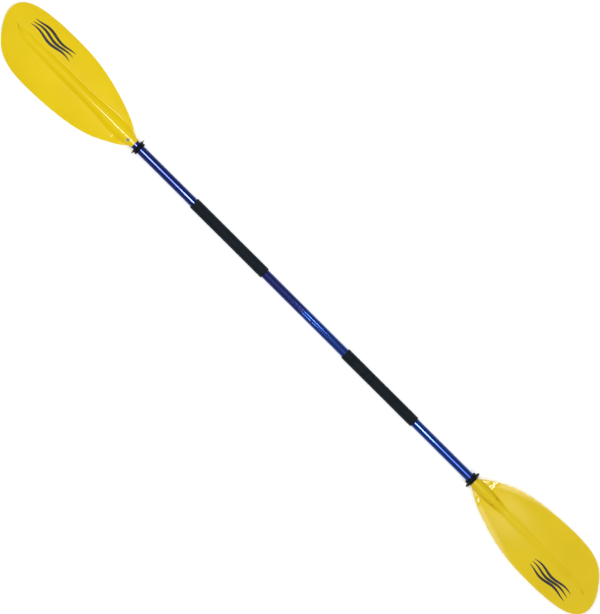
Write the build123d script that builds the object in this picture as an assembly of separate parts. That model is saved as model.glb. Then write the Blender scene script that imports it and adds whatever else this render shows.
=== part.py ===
from build123d import *
import os

# Two-piece kayak paddle, in millimetres.
# The shaft lies along X, with its axis at y = z = 0 and the middle of the paddle at x = 0.
# The left blade shows its back face to +Z. The right blade is turned half a turn about the
# shaft from in line with it, so it shows its power face to +Z.

# ---- driving dimensions -------------------------------------------------------------
OVERALL_LENGTH = 2138.0
BLADE_LENGTH = 456.0
SEAM_X = -12.0                 # where the two halves meet
TUBE_RADIUS = 12.0
TUBE_WALL = 1.5
SOCKET_DEPTH = 80.0            # how far each tube goes into its blade

SHEET_THICKNESS = 3.5          # wall of the blade away from its spine
TIP_DROP = 10.0                # how far the tip leans towards the power face
EDGE_DROP = 9.0                # how far the long edges lean towards the power face
HALF_WIDTH = 90.5              # widest reach of the blade from the shaft axis
NECK_RADIUS = 14.0

SLEEVE_REACH = 90.0            # ferrule sleeve, each side of the seam
SLEEVE_WALL = 1.5
SLEEVE_RUNNING_GAP = 0.1       # sleeve to right tube, on the radius
WASHER_THICKNESS = 1.0

GRIP_RADIUS = 15.0
GRIP_LENGTH = 254.0
LEFT_GRIP_MIDDLE = -276.0
RIGHT_GRIP_MIDDLE = 268.0
GRIP_END_ROUND = 2.8

RING_LENGTH = 13.0
RING_HUB_RADIUS = 17.0
RING_FLANGE_RADIUS = 24.2
RING_BORE_GAP = 0.1
LEFT_RING_INNER_END = 591.8    # end of the ring nearer the grip, from the middle
RIGHT_RING_INNER_END = 599.7

BUTTON_FROM_SEAM = 33.0
BUTTON_TILT = 17.5             # degrees from +Z towards -Y
BUTTON_RADIUS = 3.2
BUTTON_HOLE_RADIUS = 3.5
BUTTON_TOP = 15.0              # from the shaft axis, when it is out
FEATHER_STOPS = (0.0, 120.0, 180.0, 240.0)   # degrees about the shaft, from the first hole

RIVET_SHANK_RADIUS = 2.0
RIVET_STEM_RADIUS = 1.0
BLADE_RIVET_FROM_ROOT = 19.0
FERRULE_RIVET_FROM_SEAM = -60.0
BUNG_LENGTH = 40.0

# ---- sizes that follow from them ------------------------------------------------------
BLADE_ROOT = OVERALL_LENGTH / 2 - BLADE_LENGTH
TUBE_END = BLADE_ROOT + SOCKET_DEPTH
TUBE_BORE = TUBE_RADIUS - TUBE_WALL
SLEEVE_BORE = TUBE_BORE - SLEEVE_WALL
BUTTON_X = SEAM_X + BUTTON_FROM_SEAM
FERRULE_RIVET_X = SEAM_X + FERRULE_RIVET_FROM_SEAM

# Blade outline: distance from the root, distance from the shaft axis. The long side is +Y
# on the left blade, and the tip lies towards it.
OUTLINE = [
    (8, 14), (40, 32.5), (90, 53), (150, 70.6), (210, 81.6), (270, 84.9), (330, 84.1),
    (390, 77.8), (430, 64.7), (449, 48), (BLADE_LENGTH, 27), (449, -5.5), (430, -35.5),
    (400, -65.9), (370, -81), (335, -88.4), (290, -HALF_WIDTH), (230, -88.1), (150, -79),
    (90, -62.2), (50, -42.5), (20, -24), (8, -14),
]
# Spine on the back face: distance from the root, half width, height above the sheet's middle.
SPINE = [
    (25, 14, 13.5), (60, 18.5, 13.2), (105, 18, 12.4), (167, 15, 10.6), (229, 12.8, 8.8),
    (290, 10.8, 7.0), (352, 8.5, 5.2), (405, 5.5, 3.3), (440, 3, 1.9),
]
# Swelling of the power face round the socket: it keeps the neck's radius and then closes.
NOSE_START, NOSE_END = 84.0, 150.0


def tube(x_from, x_to, outer, inner):
    """A round tube on the shaft axis between two places along it."""
    length = x_to - x_from
    ring = Plane(origin=(x_from, 0, 0), z_dir=(1, 0, 0)) * (Circle(outer) - Circle(inner))
    return extrude(ring, length)


def rod(x_from, x_to, radius):
    return extrude(Plane(origin=(x_from, 0, 0), z_dir=(1, 0, 0)) * Circle(radius), x_to - x_from)


def sheet_middle(u):
    """Height of the blade sheet's middle on the shaft's line, u from the root."""
    return -TIP_DROP * (u / BLADE_LENGTH) ** 2


def left_section(u):
    """Drawing plane across the left blade, u from its root: its x is +Y and its y is +Z."""
    return Plane(origin=(-BLADE_ROOT - u, 0, sheet_middle(u)), x_dir=(0, 1, 0), z_dir=(1, 0, 0))


def blade_sheet():
    """The curved sheet: lofted bowed strips, trimmed to the outline."""
    reach = HALF_WIDTH + 10
    drop = EDGE_DROP * (reach / HALF_WIDTH) ** 2
    half = SHEET_THICKNESS / 2
    strips = []
    for step in range(5):
        u = step * (BLADE_LENGTH + 10) / 4
        top = ThreePointArc((-reach, half - drop), (0, half), (reach, half - drop))
        bottom = ThreePointArc((-reach, -half - drop), (0, -half), (reach, -half - drop))
        sides = [Line(top @ 0, bottom @ 0), Line(top @ 1, bottom @ 1)]
        strips.append(left_section(u) * make_face([top, bottom, *sides]))
    points = [(-BLADE_ROOT - u, y) for u, y in OUTLINE]
    edge = Spline(*points)
    outline = make_face([edge, Line(points[-1], points[0])])
    prism = extrude(Plane.XY.offset(-100) * outline, 200)
    return loft(strips) & prism


def blade_spine():
    """Half-round spine along the back face, from the neck to where it fades out."""
    sections = []
    for u, half_width, height in SPINE:
        arch = EllipticalCenterArc((0, 0), half_width, height, start_angle=0, arc_size=180)
        sections.append(left_section(u) * make_face([arch, Line(arch @ 0, arch @ 1)]))
    return loft(sections)


def blade_neck():
    """Round neck that holds the tube, closed by a pointed nose inside the blade."""
    start, nose, end = -BLADE_ROOT, -BLADE_ROOT - NOSE_START, -BLADE_ROOT - NOSE_END
    path = [
        Line((end, 0), (start, 0)),
        Line((start, 0), (start, NECK_RADIUS)),
        Line((start, NECK_RADIUS), (nose, NECK_RADIUS)),
        TangentArc((nose, NECK_RADIUS), (end, 0), tangent=(-1, 0)),
    ]
    return revolve(Plane.XZ * make_face(path), Axis.X)


def blind_rivet(seat, bore, head_radius, head_height):
    """A blind rivet standing on +Z: its body, and the stem left inside it.

    seat is the height of the head's underside, bore the inner radius that it opens out in."""
    grip = bore - 0.5
    bulb_radius, bulb_height = 2.8, 2.2
    head = Pos(0, 0, seat) * Cylinder(head_radius, head_height, align=ALIGN_BASE)
    head = fillet(head.edges().group_by(Axis.Z)[-1], head_height * 0.9)
    shank = Pos(0, 0, grip - 0.2) * Cylinder(RIVET_SHANK_RADIUS, seat - grip + 0.2, align=ALIGN_BASE)
    bulb = Pos(0, 0, grip - bulb_height) * Cylinder(bulb_radius, bulb_height, align=ALIGN_BASE)
    bulb = fillet(bulb.edges(), 0.8)
    foot = grip - bulb_height
    stem_top = seat + head_height - 0.4
    stem = Pos(0, 0, foot) * Cylinder(RIVET_STEM_RADIUS, stem_top - foot, align=ALIGN_BASE)
    knob = Pos(0, 0, foot - 0.9) * Cylinder(1.6, 0.9, align=ALIGN_BASE)
    way = Pos(0, 0, foot - 1) * Cylinder(RIVET_STEM_RADIUS, seat + head_height, align=ALIGN_BASE)
    return head + shank + bulb - way, stem + knob


def on_shaft(shape, x, tilt):
    """Take a shape standing on +Z to a place along the shaft, leaning tilt degrees to -Y."""
    return Pos(x, 0, 0) * Rot(tilt, 0, 0) * shape


def radial_hole(x, tilt, radius):
    """A drill from the shaft axis outwards."""
    return on_shaft(Cylinder(radius, 30, align=ALIGN_BASE), x, tilt)


def turned_over(shape):
    """The right blade's place for a piece of the left one: mirrored, then half a turn."""
    return Rot(180, 0, 0) * mirror(shape, about=Plane.YZ)


ALIGN_BASE = (Align.CENTER, Align.CENTER, Align.MIN)
nodes = {}

# ---- blades and their rivets ------------------------------------------------------------
RIVET_X = -BLADE_ROOT - BLADE_RIVET_FROM_ROOT
RIVET_SEAT = NECK_RADIUS - 0.5
RIVET_HEAD_RADIUS, RIVET_HEAD_HEIGHT = 4.4, 2.0
blade_rivet, blade_rivet_stem = [
    on_shaft(piece, RIVET_X, BUTTON_TILT)
    for piece in blind_rivet(RIVET_SEAT, TUBE_BORE, RIVET_HEAD_RADIUS, RIVET_HEAD_HEIGHT)
]
rivet_hole = radial_hole(RIVET_X, BUTTON_TILT, RIVET_SHANK_RADIUS)
spot_face = Pos(0, 0, RIVET_SEAT) * Cylinder(RIVET_HEAD_RADIUS + 0.2, 10, align=ALIGN_BASE)
blade = blade_sheet() + blade_spine() + blade_neck()
blade -= rod(-TUBE_END, -BLADE_ROOT, TUBE_RADIUS)
blade -= rivet_hole + on_shaft(spot_face, RIVET_X, BUTTON_TILT)
nodes["left_blade"] = blade
nodes["right_blade"] = turned_over(blade)
nodes["left_blade_rivet"] = blade_rivet
nodes["left_rivet_mandrel"] = blade_rivet_stem
nodes["right_blade_rivet"] = turned_over(blade_rivet)
nodes["right_rivet_mandrel"] = turned_over(blade_rivet_stem)

# ---- ferrule rivet, on the underside of the left tube ------------------------------------
FERRULE_SEAT = TUBE_RADIUS - 0.3
FERRULE_HEAD_RADIUS = 3.6
nodes["ferrule_rivet"], nodes["ferrule_rivet_mandrel"] = [
    on_shaft(piece, FERRULE_RIVET_X, 180)
    for piece in blind_rivet(FERRULE_SEAT, SLEEVE_BORE, FERRULE_HEAD_RADIUS, 1.6)
]
ferrule_hole = radial_hole(FERRULE_RIVET_X, 180, RIVET_SHANK_RADIUS)
ferrule_spot = Pos(0, 0, FERRULE_SEAT) * Cylinder(FERRULE_HEAD_RADIUS + 0.2, 5, align=ALIGN_BASE)

# ---- shaft tubes ---------------------------------------------------------------------------
left_tube = tube(-TUBE_END, SEAM_X, TUBE_RADIUS, TUBE_BORE) - rivet_hole - ferrule_hole
nodes["left_shaft"] = left_tube - on_shaft(ferrule_spot, FERRULE_RIVET_X, 180)
RIGHT_TUBE_START = SEAM_X + WASHER_THICKNESS
right_tube = tube(RIGHT_TUBE_START, TUBE_END, TUBE_RADIUS, TUBE_BORE) - turned_over(rivet_hole)
for stop in FEATHER_STOPS:
    right_tube -= radial_hole(BUTTON_X, BUTTON_TILT + stop, BUTTON_HOLE_RADIUS)
nodes["right_shaft"] = right_tube
nodes["seam_washer"] = tube(SEAM_X, RIGHT_TUBE_START, TUBE_RADIUS, TUBE_BORE)

# ---- ferrule sleeve: fixed in the left tube, free to slide in the right one ------------------
SLEEVE_FREE_RADIUS = TUBE_BORE - SLEEVE_RUNNING_GAP
SLEEVE_START, SLEEVE_END = SEAM_X - SLEEVE_REACH, SEAM_X + SLEEVE_REACH
sleeve = rod(SLEEVE_START, SEAM_X, TUBE_BORE) + rod(SEAM_X, SLEEVE_END, SLEEVE_FREE_RADIUS)
sleeve = chamfer(sleeve.edges().group_by(Axis.X)[-1], 1.0)
sleeve -= rod(SLEEVE_START, SLEEVE_END, SLEEVE_BORE)
sleeve -= radial_hole(BUTTON_X, BUTTON_TILT, BUTTON_HOLE_RADIUS) + ferrule_hole
nodes["ferrule_sleeve"] = sleeve

# ---- snap button and the leaf spring under it ------------------------------------------------
BUTTON_FOOT, BUTTON_SHOULDER = 6.8, 7.8
SHOULDER_RADIUS = 4.2
LEAF_THICKNESS, LEAF_WIDTH = 0.6, 6.0
stalk = Pos(0, 0, BUTTON_FOOT) * Cylinder(BUTTON_RADIUS, BUTTON_TOP - BUTTON_FOOT, align=ALIGN_BASE)
stalk = fillet(stalk.edges().group_by(Axis.Z)[-1], 1.9)
shoulder = Pos(0, 0, BUTTON_FOOT) * Cylinder(
    SHOULDER_RADIUS, BUTTON_SHOULDER - BUTTON_FOOT, align=ALIGN_BASE)
nodes["snap_button"] = on_shaft(stalk + shoulder, BUTTON_X, BUTTON_TILT)

leaf_high, leaf_low = BUTTON_FOOT - LEAF_THICKNESS / 2, -7.9
leaf_line = FilletPolyline(
    (-8, leaf_high), (9, leaf_high), (48, -1), (50, leaf_low), (-8, leaf_low), radius=3)
leaf = extrude(Plane.XZ * trace(leaf_line, LEAF_THICKNESS), LEAF_WIDTH / 2, both=True)
nodes["button_spring"] = on_shaft(leaf, BUTTON_X, BUTTON_TILT)

# ---- grips -------------------------------------------------------------------------------------
grip = rod(-GRIP_LENGTH / 2, GRIP_LENGTH / 2, GRIP_RADIUS)
grip = fillet(grip.edges().filter_by(GeomType.CIRCLE), GRIP_END_ROUND)
grip -= rod(-GRIP_LENGTH / 2, GRIP_LENGTH / 2, TUBE_RADIUS)
nodes["left_grip"] = Pos(LEFT_GRIP_MIDDLE, 0, 0) * grip
nodes["right_grip"] = Pos(RIGHT_GRIP_MIDDLE, 0, 0) * grip

# ---- drip rings: a hub, a thin flange with a hollow flare, and a short lip ---------------------
RING_HUB_STRAIGHT, RING_FLANGE_START, RING_FLANGE_END = 4.0, 9.6, 11.0
RING_LIP_RADIUS = 17.2


def drip_ring(inner_end):
    bore = TUBE_RADIUS + RING_BORE_GAP
    rim_x = inner_end + RING_FLANGE_START
    flange_back = inner_end + RING_FLANGE_END
    hub_x = inner_end + RING_HUB_STRAIGHT
    outer_end = inner_end + RING_LENGTH
    profile = [
        Line((inner_end, bore), (inner_end, RING_HUB_RADIUS)),
        Line((inner_end, RING_HUB_RADIUS), (hub_x, RING_HUB_RADIUS)),
        TangentArc((hub_x, RING_HUB_RADIUS), (rim_x, RING_FLANGE_RADIUS), tangent=(1, 0)),
        Line((rim_x, RING_FLANGE_RADIUS), (flange_back, RING_FLANGE_RADIUS)),
        Line((flange_back, RING_FLANGE_RADIUS), (flange_back, RING_LIP_RADIUS)),
        Line((flange_back, RING_LIP_RADIUS), (outer_end, RING_LIP_RADIUS)),
        Line((outer_end, RING_LIP_RADIUS), (outer_end, bore)),
        Line((outer_end, bore), (inner_end, bore)),
    ]
    return revolve(Plane.XZ * make_face(profile), Axis.X)


nodes["right_drip_ring"] = drip_ring(RIGHT_RING_INNER_END)
nodes["left_drip_ring"] = mirror(drip_ring(LEFT_RING_INNER_END), about=Plane.YZ)

# ---- foam bungs that seal both ends of each tube -------------------------------------------------
INNER_BUNG_START = SLEEVE_REACH - SEAM_X + 10
OUTER_BUNG_START = TUBE_END - BUNG_LENGTH - 2
for place, start in (("inner", INNER_BUNG_START), ("outer", OUTER_BUNG_START)):
    bung = rod(start, start + BUNG_LENGTH, TUBE_BORE)
    nodes["right_" + place + "_bung"] = bung
    nodes["left_" + place + "_bung"] = mirror(bung, about=Plane.YZ)

# ---- files -----------------------------------------------------------------------------------------
os.makedirs("parts", exist_ok=True)
for name, shape in nodes.items():
    export_step(shape, f"parts/{name}.step")
    box = shape.bounding_box()
    print(f"{name:24s} {shape.volume / 1000:9.2f} cm3  x {box.min.X:8.1f} to {box.max.X:8.1f}")
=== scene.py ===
# %% [markdown]
# # Kayak paddle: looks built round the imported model
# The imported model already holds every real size, joint and body. Here each visible piece gets
# its finished shape and surface. The shaft lies along X with its middle at x = 0 and the seam of
# its halves just left of that. Everything is in metres. The first step is to load that model
# and keep its box.

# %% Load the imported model
from functools import partial
from math import cos, pi, radians, sin

import bmesh
import bpy
import numpy as np
from mathutils import Matrix, Vector


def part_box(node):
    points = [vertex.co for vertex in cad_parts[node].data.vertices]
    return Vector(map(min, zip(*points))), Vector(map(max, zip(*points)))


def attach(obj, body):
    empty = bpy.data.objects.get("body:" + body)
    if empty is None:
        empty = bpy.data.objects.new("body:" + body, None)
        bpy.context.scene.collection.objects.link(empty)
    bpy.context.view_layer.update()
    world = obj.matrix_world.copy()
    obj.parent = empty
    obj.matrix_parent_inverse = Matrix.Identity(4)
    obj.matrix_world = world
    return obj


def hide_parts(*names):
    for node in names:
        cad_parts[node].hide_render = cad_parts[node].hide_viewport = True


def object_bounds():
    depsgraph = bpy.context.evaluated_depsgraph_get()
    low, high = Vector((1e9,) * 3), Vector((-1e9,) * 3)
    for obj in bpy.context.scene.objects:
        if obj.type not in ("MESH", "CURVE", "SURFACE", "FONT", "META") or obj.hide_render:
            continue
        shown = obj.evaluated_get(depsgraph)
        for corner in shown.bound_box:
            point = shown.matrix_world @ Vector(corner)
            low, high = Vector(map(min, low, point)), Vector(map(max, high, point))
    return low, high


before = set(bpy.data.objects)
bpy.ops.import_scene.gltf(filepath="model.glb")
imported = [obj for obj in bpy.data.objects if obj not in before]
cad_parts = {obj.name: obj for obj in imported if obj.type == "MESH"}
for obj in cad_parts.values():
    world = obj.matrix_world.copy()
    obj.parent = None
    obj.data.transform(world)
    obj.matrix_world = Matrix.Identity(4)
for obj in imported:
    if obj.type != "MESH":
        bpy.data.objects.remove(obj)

cad_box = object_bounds()
MM = 0.001

# %% [markdown]
# The driving sizes are read from the model rather than typed again, so a change to the model
# carries through: the tube's radius, the place where each blade starts, and the floor, which
# the paddle lies on at its lowest point.

# %% Sizes read from the model
TUBE_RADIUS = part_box("left_shaft")[1].z
BLADE_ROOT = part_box("right_blade")[0].x
BLADE_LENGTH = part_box("right_blade")[1].x - BLADE_ROOT
FLOOR_HEIGHT = cad_box[0].z
print(f"tube radius {TUBE_RADIUS:.4f}, blade from {BLADE_ROOT:.3f}, {BLADE_LENGTH:.3f} long")

# %% [markdown]
# ## Camera
# The paddle is looked at from almost straight above, from six metres away, with the shaft
# running across the picture's diagonal. The camera's own axes are built by hand. Its Z points
# back at it from the target. The shaft, flattened onto the picture, and the line square to it
# are then turned by the roll to give the picture's right and up.

# %% The camera
CAMERA_DISTANCE = 6.0
CAMERA_LEAN = radians(7.6)          # from straight above, towards the left blade
CAMERA_ROLL = radians(44.85)        # turns the shaft onto the diagonal
CAMERA_LENS = 138.3                 # millimetres, on a 36 mm sensor
CAMERA_TARGET = Vector((-0.0247, 0.0026, 0.0))

place = Vector((-sin(CAMERA_LEAN), 0, cos(CAMERA_LEAN))) * CAMERA_DISTANCE
back = (place - CAMERA_TARGET).normalized()
along_shaft = (Vector((1, 0, 0)) - back.x * back).normalized()
across_shaft = back.cross(along_shaft)
right = cos(CAMERA_ROLL) * along_shaft + sin(CAMERA_ROLL) * across_shaft
camera_data = bpy.data.cameras.new("camera")
camera_data.lens, camera_data.sensor_width = CAMERA_LENS, 36.0
camera_data.clip_start, camera_data.clip_end = 0.1, 50.0
camera = bpy.data.objects.new("camera", camera_data)
turn = Matrix((right, back.cross(right), back)).transposed()
camera.matrix_world = Matrix.Translation(place) @ turn.to_4x4()
bpy.context.scene.collection.objects.link(camera)
bpy.context.scene.camera = camera
bpy.context.scene.view_settings.view_transform = "Standard"

# %% [markdown]
# ## Node trees in a few lines
# Materials and Geometry Nodes are both trees of nodes. Two helpers make either kind readable:
# one starts a tree with named sockets, and one adds a node and fills its inputs, with a plain
# value or with another node's output. The others are short ways to add the commonest nodes.

# %% Helpers for node trees
SOCKET_KINDS = {"number": "NodeSocketFloat", "count": "NodeSocketInt", "vector": "NodeSocketVector",
                "colour": "NodeSocketColor", "geometry": "NodeSocketGeometry",
                "object": "NodeSocketObject", "material": "NodeSocketMaterial"}


def new_tree(name, kind, takes, gives):
    """A node group with named inputs and outputs; returns it with its two end nodes."""
    tree = bpy.data.node_groups.new(name, kind)
    for way, sockets in (("INPUT", takes), ("OUTPUT", gives)):
        for socket_name, socket_kind in sockets.items():
            tree.interface.new_socket(
                socket_name, in_out=way, socket_type=SOCKET_KINDS[socket_kind])
    return tree, tree.nodes.new("NodeGroupInput"), tree.nodes.new("NodeGroupOutput")


def add(tree, kind, inputs=None, **settings):
    """Add a node, set its settings, and fill or link its inputs by name or number."""
    made = tree.nodes.new(kind)
    for key, value in settings.items():
        setattr(made, key, value)
    for key, value in (inputs or {}).items():
        if isinstance(value, bpy.types.NodeSocket):
            tree.links.new(value, made.inputs[key])
        else:
            made.inputs[key].default_value = value
    return made


def maths(tree, operation, first, second=0.0, third=0.0):
    """The result of one sum on numbers."""
    inputs = {0: first, 1: second, 2: third}
    return add(tree, "ShaderNodeMath", inputs, operation=operation).outputs[0]


def noise(tree, vector, scale, detail, **more):
    """The value of a noise at a place."""
    inputs = {"Vector": vector, "Scale": scale, "Detail": detail, **more}
    return add(tree, "ShaderNodeTexNoise", inputs).outputs["Fac"]


def remap(tree, value, low, high, to_low=0.0, to_high=1.0):
    """A value carried from one range to another, and held at that range's ends."""
    inputs = {"Value": value, "From Min": low, "From Max": high,
              "To Min": to_low, "To Max": to_high}
    return add(tree, "ShaderNodeMapRange", inputs).outputs["Result"]


# %% [markdown]
# ## Floor and light
# A product picture has a plain white sweep and large soft lights. The tubes are nearly mirrors,
# so what matters is where each light lies along X: a bright streak shows on the tube where the
# lamp overhead is reflected, and the streak ends where the lamp ends. With the camera c above the
# shaft and b to the left, a lamp at height h shows at x when it hangs over x + (x + b) * h / c.

# %% A helper for plain meshes, and the floor


def mesh_object(name, points, faces, smooth=True):
    """A mesh object at the origin, with its place in its points."""
    mesh = bpy.data.meshes.new(name)
    mesh.from_pydata([tuple(p) for p in points], [], [tuple(f) for f in faces])
    if smooth:
        mesh.polygons.foreach_set("use_smooth", [True] * len(mesh.polygons))
    mesh.update()
    obj = bpy.data.objects.new(name, mesh)
    bpy.context.scene.collection.objects.link(obj)
    return obj


FLOOR_REACH, FLOOR_GAP = 12.0, 0.5 * MM      # the gap keeps the floor off the lowest points
corners = [(sx * FLOOR_REACH, sy * FLOOR_REACH, FLOOR_HEIGHT - FLOOR_GAP)
           for sx, sy in ((-1, -1), (1, -1), (1, 1), (-1, 1))]
floor = mesh_object("floor", corners, [(0, 1, 2, 3)], smooth=False)

# %% Lamps over the shaft
STREAK_LAMP_HEIGHT = 3.0
CAMERA_BACK_X = -place.x


def over(x, across=0.0):
    """Where a lamp hangs, across metres to the side, so that its reflection shows at x."""
    return x + (x + CAMERA_BACK_X) * np.hypot(STREAK_LAMP_HEIGHT, across) / place.z


def area_lamp(name, spot, aim, size_x, size_y, power):
    """A rectangular soft lamp that faces a point; power is its radiance times its area times pi."""
    data = bpy.data.lights.new(name, "AREA")
    data.shape, data.size, data.size_y = "RECTANGLE", size_x, size_y
    data.energy = power
    lamp = bpy.data.objects.new(name, data)
    lamp.location = spot
    lamp.rotation_euler = (Vector(aim) - Vector(spot)).to_track_quat("-Z", "X").to_euler()
    bpy.context.scene.collection.objects.link(lamp)
    return lamp


WHITE, COOL, WARM = (1.0, 1.0, 1.0), (0.82, 1.0, 1.0), (1.0, 0.85, 0.85)
STREAKS = {          # start and end along the shaft, place across it, width, radiance, colour
    "blade_streak": (-0.93, -0.640, 0.03, 0.24, 48.0, WHITE),
    "left_outer_streak": (-0.625, -0.53, 0.03, 0.95, 23.0, COOL),
    "left_dim_streak": (-0.53, -0.445, 0.03, 0.9, 11.0, COOL),
    "left_inner_streak": (-0.445, -0.395, 0.03, 1.0, 42.0, COOL),
    "seam_streak_far": (-0.008, 0.050, 1.45, 0.5, 19.0, COOL),
    "seam_streak_near": (-0.008, 0.034, -2.1, 0.5, 19.0, COOL),
    "right_inner_streak": (0.385, 0.465, 0.03, 1.0, 33.0, WARM),
    "right_dim_streak": (0.465, 0.60, 0.03, 1.1, 5.0, WHITE),
}
for name, (start, end, across, width, radiance, tint) in STREAKS.items():
    begins, ends = over(start, across), over(end, across)
    middle, length = (begins + ends) / 2, ends - begins
    lamp = area_lamp(name, spot=(middle, across, STREAK_LAMP_HEIGHT), aim=(middle, 0.0, 0.0),
                     size_x=width, size_y=length, power=radiance * width * length * pi)
    lamp.data.color = tint
print("streak lamps:", len(STREAKS))

# %% Lamps beyond the two ends, and the sky
END_LAMPS = {"left_end": (-3.6, 25.0), "right_end": (3.6, 1.0)}     # place along X, power
END_LAMP_SIZE = 2.4
for name, (x, power) in END_LAMPS.items():
    area_lamp(name, (x, 0.5, 2.6), (0, 0, 0), END_LAMP_SIZE, END_LAMP_SIZE, power)
area_lamp("shoulder_glint", spot=(2.5, -0.2, 3.0), aim=(0.65, 0, 0), size_x=0.29, size_y=0.33,
          power=15.5)

# The sky is brightest straight overhead and dims with the square of the height above the
# horizon, down to a third of the way up, as under a large ceiling light. Below that it is even.
SKY_LEAST, SKY_RISE = 0.09, 0.57
SKY_EVEN_BELOW = 0.5                # sine of the height above the horizon, so 30 degrees
world = bpy.data.worlds.new("studio")
world.use_nodes = True
sky = world.node_tree
way_up = add(sky, "ShaderNodeSeparateXYZ", {
    0: add(sky, "ShaderNodeTexCoord").outputs["Generated"]}).outputs["Z"]
climb = maths(sky, "POWER", maths(sky, "MAXIMUM", way_up, SKY_EVEN_BELOW), 2.0)
backdrop = sky.nodes["Background"]
sky.links.new(maths(sky, "MULTIPLY_ADD", climb, SKY_RISE, SKY_LEAST), backdrop.inputs["Strength"])
backdrop.inputs["Color"].default_value = (*WHITE, 1.0)
bpy.context.scene.world = world

# %% [markdown]
# ## Curves through a few points
# The blade's outline and its spine are each drawn through a handful of measured points. A
# natural cubic spline through them has no kinks in its slope, which matters on a glossy
# surface, where a kink shows as a break in the reflection.

# %% Natural cubic spline


def natural_cubic(knots, values):
    """A smooth function through values at knots; values may be rows of several numbers."""
    knots, values = np.asarray(knots, float), np.asarray(values, float)
    count, gap = len(knots), np.diff(knots)
    slope = (np.diff(values, axis=0).T / gap).T
    matrix, want = np.eye(count), np.zeros_like(values)
    for i in range(1, count - 1):
        matrix[i, i - 1:i + 2] = gap[i - 1], 2 * (gap[i - 1] + gap[i]), gap[i]
        want[i] = 6 * (slope[i] - slope[i - 1])
    bend = np.linalg.solve(matrix, want)

    def at(x):
        x = np.clip(np.asarray(x, float), knots[0], knots[-1])
        i = np.clip(np.searchsorted(knots, x) - 1, 0, count - 2)
        h = gap[i]
        a, b = (knots[i + 1] - x) / h, (x - knots[i]) / h
        if values.ndim > 1:
            a, b, h = a[..., None], b[..., None], h[..., None]
        curve = ((a**3 - a) * bend[i] + (b**3 - b) * bend[i + 1]) * h**2 / 6
        return a * values[i] + b * values[i + 1] + curve

    return at


def ramp(x, start, end):
    """0 up to start, 1 from end on, and a smooth step between."""
    x = np.clip((x - start) / (end - start), 0, 1)
    return x * x * (3 - 2 * x)


# %% [markdown]
# ## The blades
# Each blade is one injection moulding: a round neck that holds the tube, a half-round spine
# that runs down its back and fades out near the tip, and a thin sheet that is bowed two ways.
# One formula gives the height of both faces over any point of the outline, so the blade could
# be a plain grid. Its lines are laid as in a leaf instead: a midrib, and ribs that lean over
# towards the tip, so that every mesh line meets the rim squarely and the rim can be rounded.
# Sizes here are in millimetres from the blade's root, as on a drawing.

# %% The blade's outline
OUTLINE = [
    (8, 14), (40, 32.5), (90, 53), (150, 70.6), (210, 81.6), (270, 84.9), (330, 84.1),
    (390, 77.8), (430, 64.7), (449, 48), (456, 27), (449, -5.5), (430, -35.5),
    (400, -65.9), (370, -81), (335, -88.4), (290, -90.5), (230, -88.1), (150, -79),
    (90, -62.2), (50, -42.5), (20, -24), (8, -14),
]
chords = np.linalg.norm(np.diff(np.array(OUTLINE, float), axis=0), axis=1)
travel = np.concatenate([[0], np.cumsum(chords)])
outline_at = natural_cubic(travel, OUTLINE)
NECK_RADIUS = 14.0
OUTLINE_POINTS = 3000
outline = np.vstack([
    [(0, NECK_RADIUS)], outline_at(np.linspace(0, travel[-1], OUTLINE_POINTS)),
    [(0, -NECK_RADIUS)]])
print(f"outline {travel[-1]:.0f} mm round, widest {np.ptp(outline[:, 1]):.1f} mm")

# %% Heights of the two faces
TIP_DROP, EDGE_DROP, HALF_WIDTH = 10.0, 9.0, 90.5
RIM_HALF_THICKNESS, SHEET_HALF_THICKNESS = 1.25, 1.9
RIM_EASE = 14.0                     # how far in from the rim the sheet reaches its thickness
BEAD_HEIGHT, BEAD_OFFSET, BEAD_WIDTH = 0.35, 1.8, 1.5    # thin raised line by the spine's foot
CREST_LAND = 2.8                    # about half the width of the flat along the spine's top
SHOULDER_RISE = 3.0                 # step in the sheet just past the neck

spine_foot = natural_cubic(
    [0, 8, 25, 50, 80, 115, 160, 230, 290, 350, 380, 415, 456],
    [14, 14, 19, 22.5, 22.5, 19.8, 17, 16, 15, 13, 11.5, 8.5, 5])
spine_crest = natural_cubic(
    [0, 60, 105, 167, 229, 290, 352, 405, 440, 456],
    [14, 14, 13.0, 11.0, 9.1, 7.3, 5.5, 3.8, 2.3, 1.9])
spine_bow = natural_cubic([0, 10, 28, 60, 160, 456], [0.5, 0.5, 0.95, 1.35, 1.4, 1.4])
nose_size = natural_cubic(            # share of the neck's radius that the nose still has
    [0, 70, 80, 90, 105, 125, 160, 200, 225, 456], [1, 1, 0.95, 0.8, 0.5, 0.24, 0.1, 0.04, 0, 0])
nose_foot = natural_cubic(
    [0, 70, 90, 105, 125, 160, 200, 225, 456], [15, 14.5, 12.6, 10.4, 7.5, 5.6, 4.6, 4, 4])
groove_half = natural_cubic([0, 60, 115, 200, 350, 430, 456], [13, 13, 12.5, 11.5, 10, 8, 7])
groove_depth = natural_cubic(
    [0, 55, 115, 250, 380, 430, 446, 456], [0, 0, 2.5, 2.8, 2.2, 0.9, 0, 0])
NOSE_BOW = 0.8                      # at most; keeps the nose's sides full
GROOVE_SOFTNESS, GROOVE_BOW = 0.02, 1.25


def camber(u):
    return -TIP_DROP * (u / BLADE_LENGTH * MM) ** 2


def sheet_middle(u, y):
    shoulder = SHOULDER_RISE * ramp(u, 34, 56) * (1 - ramp(u, 60, 260))
    return camber(u) + shoulder - EDGE_DROP * (y / HALF_WIDTH) ** 2


def sheet_half(u, inset):
    """Half the sheet's thickness, inset from the rim; the rim itself is a half circle."""
    swell = (SHEET_HALF_THICKNESS - RIM_HALF_THICKNESS) * ramp(inset, 0, RIM_EASE)
    body = RIM_HALF_THICKNESS + swell
    rim = np.sqrt(1 - (1 - np.clip(inset / RIM_HALF_THICKNESS, 0, 1)) ** 2)
    return body * rim * ramp(u, 4, 18)


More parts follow.
